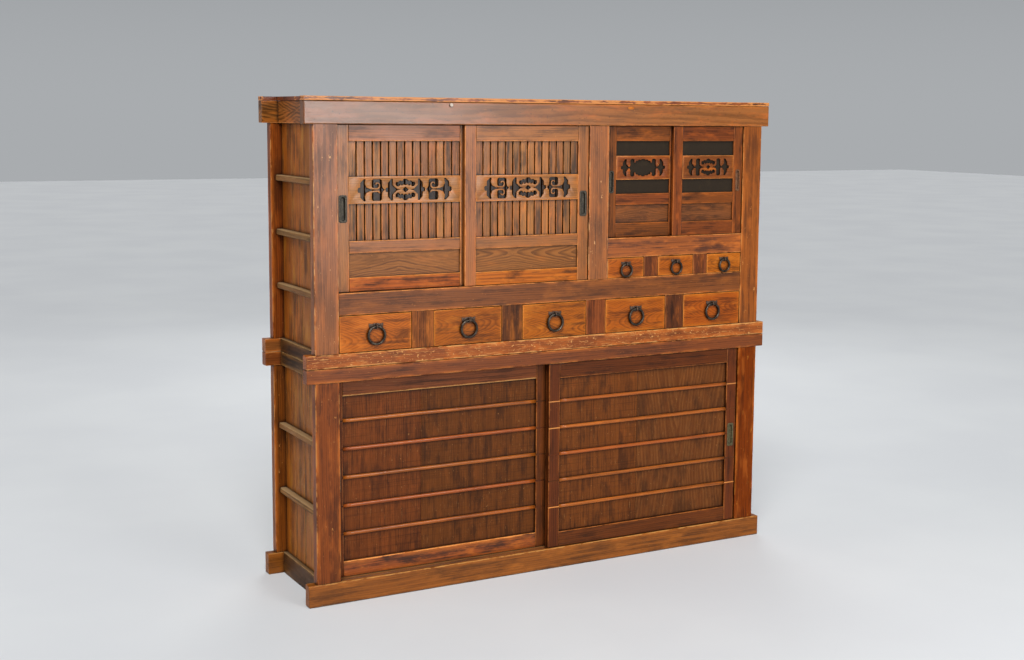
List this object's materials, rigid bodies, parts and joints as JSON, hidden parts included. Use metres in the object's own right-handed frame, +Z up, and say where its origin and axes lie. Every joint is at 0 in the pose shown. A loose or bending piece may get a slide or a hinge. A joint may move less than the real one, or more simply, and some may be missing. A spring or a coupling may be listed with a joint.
{
  "type": "mizuya kitchen cabinet",
  "caption": "Two-chest wooden kitchen cabinet with slatted, meshed and boarded sliding doors, pierced friezes, and drawers with iron ring pulls.",
  "frame": {"origin": "centre of the footprint's bounding box, on the underside of the sills", "axes": "+X to the right along the front, +Y from front to back, +Z up"},
  "size_m": [1.818, 0.4488, 1.65],
  "materials": {
    "frame_wood": "worn semi-gloss lacquer",
    "panel_wood": "satin, vertical grain",
    "batten_wood": "dull, dusty tops",
    "board_wood": "raw, aged",
    "top_wood": "worn semi-gloss lacquer",
    "divider_wood": "satin",
    "drawer_wood": "satin, figured grain",
    "door_wood": "satin lacquer",
    "slat_wood": "satin",
    "frieze_wood": "satin",
    "base_door_wood": "satin lacquer",
    "base_board_wood": "satin, sawn grain",
    "rod_wood": "satin",
    "iron": "dark forged iron, worn sheen",
    "aged_brass": "aged, dull",
    "dark_mesh": "matt woven mesh"
  },
  "bodies": {
    "cabinet": {"base_rails": "frame_wood", "base_posts": "frame_wood", "upper_rails": "frame_wood", "upper_posts": "frame_wood", "side_panels": "panel_wood", "side_battens": "batten_wood", "back_boards": "board_wood", "top_boards": "top_wood", "front_rails": "frame_wood", "drawer_dividers": "divider_wood", "floor_boards": "board_wood", "shelves_and_runners": "board_wood"},
    "wide_door_left": {"wide_door_left_frame": "door_wood", "wide_door_left_slats": "slat_wood", "wide_door_left_frieze": "frieze_wood", "wide_door_left_pull": "aged_brass"},
    "wide_door_right": {"wide_door_right_frame": "door_wood", "wide_door_right_slats": "slat_wood", "wide_door_right_frieze": "frieze_wood", "wide_door_right_pull": "aged_brass"},
    "narrow_door_left": {"narrow_door_left_frame": "door_wood", "narrow_door_left_frieze": "frieze_wood", "narrow_door_left_mesh": "dark_mesh", "narrow_door_left_pull": "aged_brass"},
    "narrow_door_right": {"narrow_door_right_frame": "door_wood", "narrow_door_right_frieze": "frieze_wood", "narrow_door_right_mesh": "dark_mesh", "narrow_door_right_pull": "aged_brass"},
    "base_door_left": {"base_door_left_frame": "base_door_wood", "base_door_left_boards": "base_board_wood", "base_door_left_rods": "rod_wood", "base_door_left_pull": "aged_brass"},
    "base_door_right": {"base_door_right_frame": "base_door_wood", "base_door_right_boards": "base_board_wood", "base_door_right_rods": "rod_wood", "base_door_right_pull": "aged_brass"},
    "drawer_1": {"drawer_1": "drawer_wood", "drawer_1_plate": "iron"},
    "drawer_1_ring": {"drawer_1_ring": "iron"},
    "drawer_2": {"drawer_2": "drawer_wood", "drawer_2_plate": "iron"},
    "drawer_2_ring": {"drawer_2_ring": "iron"},
    "drawer_3": {"drawer_3": "drawer_wood", "drawer_3_plate": "iron"},
    "drawer_3_ring": {"drawer_3_ring": "iron"},
    "drawer_4": {"drawer_4": "drawer_wood", "drawer_4_plate": "iron"},
    "drawer_4_ring": {"drawer_4_ring": "iron"},
    "drawer_5": {"drawer_5": "drawer_wood", "drawer_5_plate": "iron"},
    "drawer_5_ring": {"drawer_5_ring": "iron"},
    "small_drawer_1": {"small_drawer_1": "drawer_wood", "small_drawer_1_plate": "iron"},
    "small_drawer_1_ring": {"small_drawer_1_ring": "iron"},
    "small_drawer_2": {"small_drawer_2": "drawer_wood", "small_drawer_2_plate": "iron"},
    "small_drawer_2_ring": {"small_drawer_2_ring": "iron"},
    "small_drawer_3": {"small_drawer_3": "drawer_wood", "small_drawer_3_plate": "iron"},
    "small_drawer_3_ring": {"small_drawer_3_ring": "iron"}
  },
  "joints": [
    {"name": "wide_door_left_slide", "type": "slide", "parent": "cabinet", "child": "wide_door_left", "axis": [1, 0, 0], "range_m": [0, 0.447]},
    {"name": "wide_door_right_slide", "type": "slide", "parent": "cabinet", "child": "wide_door_right", "axis": [-1, 0, 0], "range_m": [0, 0.447]},
    {"name": "narrow_door_left_slide", "type": "slide", "parent": "cabinet", "child": "narrow_door_left", "axis": [1, 0, 0], "range_m": [0, 0.273]},
    {"name": "narrow_door_right_slide", "type": "slide", "parent": "cabinet", "child": "narrow_door_right", "axis": [-1, 0, 0], "range_m": [0, 0.273]},
    {"name": "base_door_left_slide", "type": "slide", "parent": "cabinet", "child": "base_door_left", "axis": [1, 0, 0], "range_m": [0, 0.825]},
    {"name": "base_door_right_slide", "type": "slide", "parent": "cabinet", "child": "base_door_right", "axis": [-1, 0, 0], "range_m": [0, 0.777]},
    {"name": "drawer_1_slide", "type": "slide", "parent": "cabinet", "child": "drawer_1", "axis": [0, -1, 0], "range_m": [0, 0.3]},
    {"name": "drawer_1_ring_swing", "type": "hinge", "parent": "drawer_1", "child": "drawer_1_ring", "pos_m": [-0.6696, -0.2174, 0.911], "axis": [-1, 0, 0], "range_deg": [-2, 160]},
    {"name": "drawer_2_slide", "type": "slide", "parent": "cabinet", "child": "drawer_2", "axis": [0, -1, 0], "range_m": [0, 0.3]},
    {"name": "drawer_2_ring_swing", "type": "hinge", "parent": "drawer_2", "child": "drawer_2_ring", "pos_m": [-0.3348, -0.2174, 0.911], "axis": [-1, 0, 0], "range_deg": [-2, 160]},
    {"name": "drawer_3_slide", "type": "slide", "parent": "cabinet", "child": "drawer_3", "axis": [0, -1, 0], "range_m": [0, 0.3]},
    {"name": "drawer_3_ring_swing", "type": "hinge", "parent": "drawer_3", "child": "drawer_3_ring", "pos_m": [0, -0.2174, 0.911], "axis": [-1, 0, 0], "range_deg": [-2, 160]},
    {"name": "drawer_4_slide", "type": "slide", "parent": "cabinet", "child": "drawer_4", "axis": [0, -1, 0], "range_m": [0, 0.3]},
    {"name": "drawer_4_ring_swing", "type": "hinge", "parent": "drawer_4", "child": "drawer_4_ring", "pos_m": [0.3348, -0.2174, 0.911], "axis": [-1, 0, 0], "range_deg": [-2, 160]},
    {"name": "drawer_5_slide", "type": "slide", "parent": "cabinet", "child": "drawer_5", "axis": [0, -1, 0], "range_m": [0, 0.3]},
    {"name": "drawer_5_ring_swing", "type": "hinge", "parent": "drawer_5", "child": "drawer_5_ring", "pos_m": [0.6696, -0.2174, 0.911], "axis": [-1, 0, 0], "range_deg": [-2, 160]},
    {"name": "small_drawer_1_slide", "type": "slide", "parent": "cabinet", "child": "small_drawer_1", "axis": [0, -1, 0], "range_m": [0, 0.3]},
    {"name": "small_drawer_1_ring_swing", "type": "hinge", "parent": "small_drawer_1", "child": "small_drawer_1_ring", "pos_m": [0.29, -0.2174, 1.0742], "axis": [-1, 0, 0], "range_deg": [-2, 160]},
    {"name": "small_drawer_2_slide", "type": "slide", "parent": "cabinet", "child": "small_drawer_2", "axis": [0, -1, 0], "range_m": [0, 0.3]},
    {"name": "small_drawer_2_ring_swing", "type": "hinge", "parent": "small_drawer_2", "child": "small_drawer_2_ring", "pos_m": [0.505, -0.2174, 1.0742], "axis": [-1, 0, 0], "range_deg": [-2, 160]},
    {"name": "small_drawer_3_slide", "type": "slide", "parent": "cabinet", "child": "small_drawer_3", "axis": [0, -1, 0], "range_m": [0, 0.3]},
    {"name": "small_drawer_3_ring_swing", "type": "hinge", "parent": "small_drawer_3", "child": "small_drawer_3_ring", "pos_m": [0.72, -0.2174, 1.0742], "axis": [-1, 0, 0], "range_deg": [-2, 160]}
  ]
}
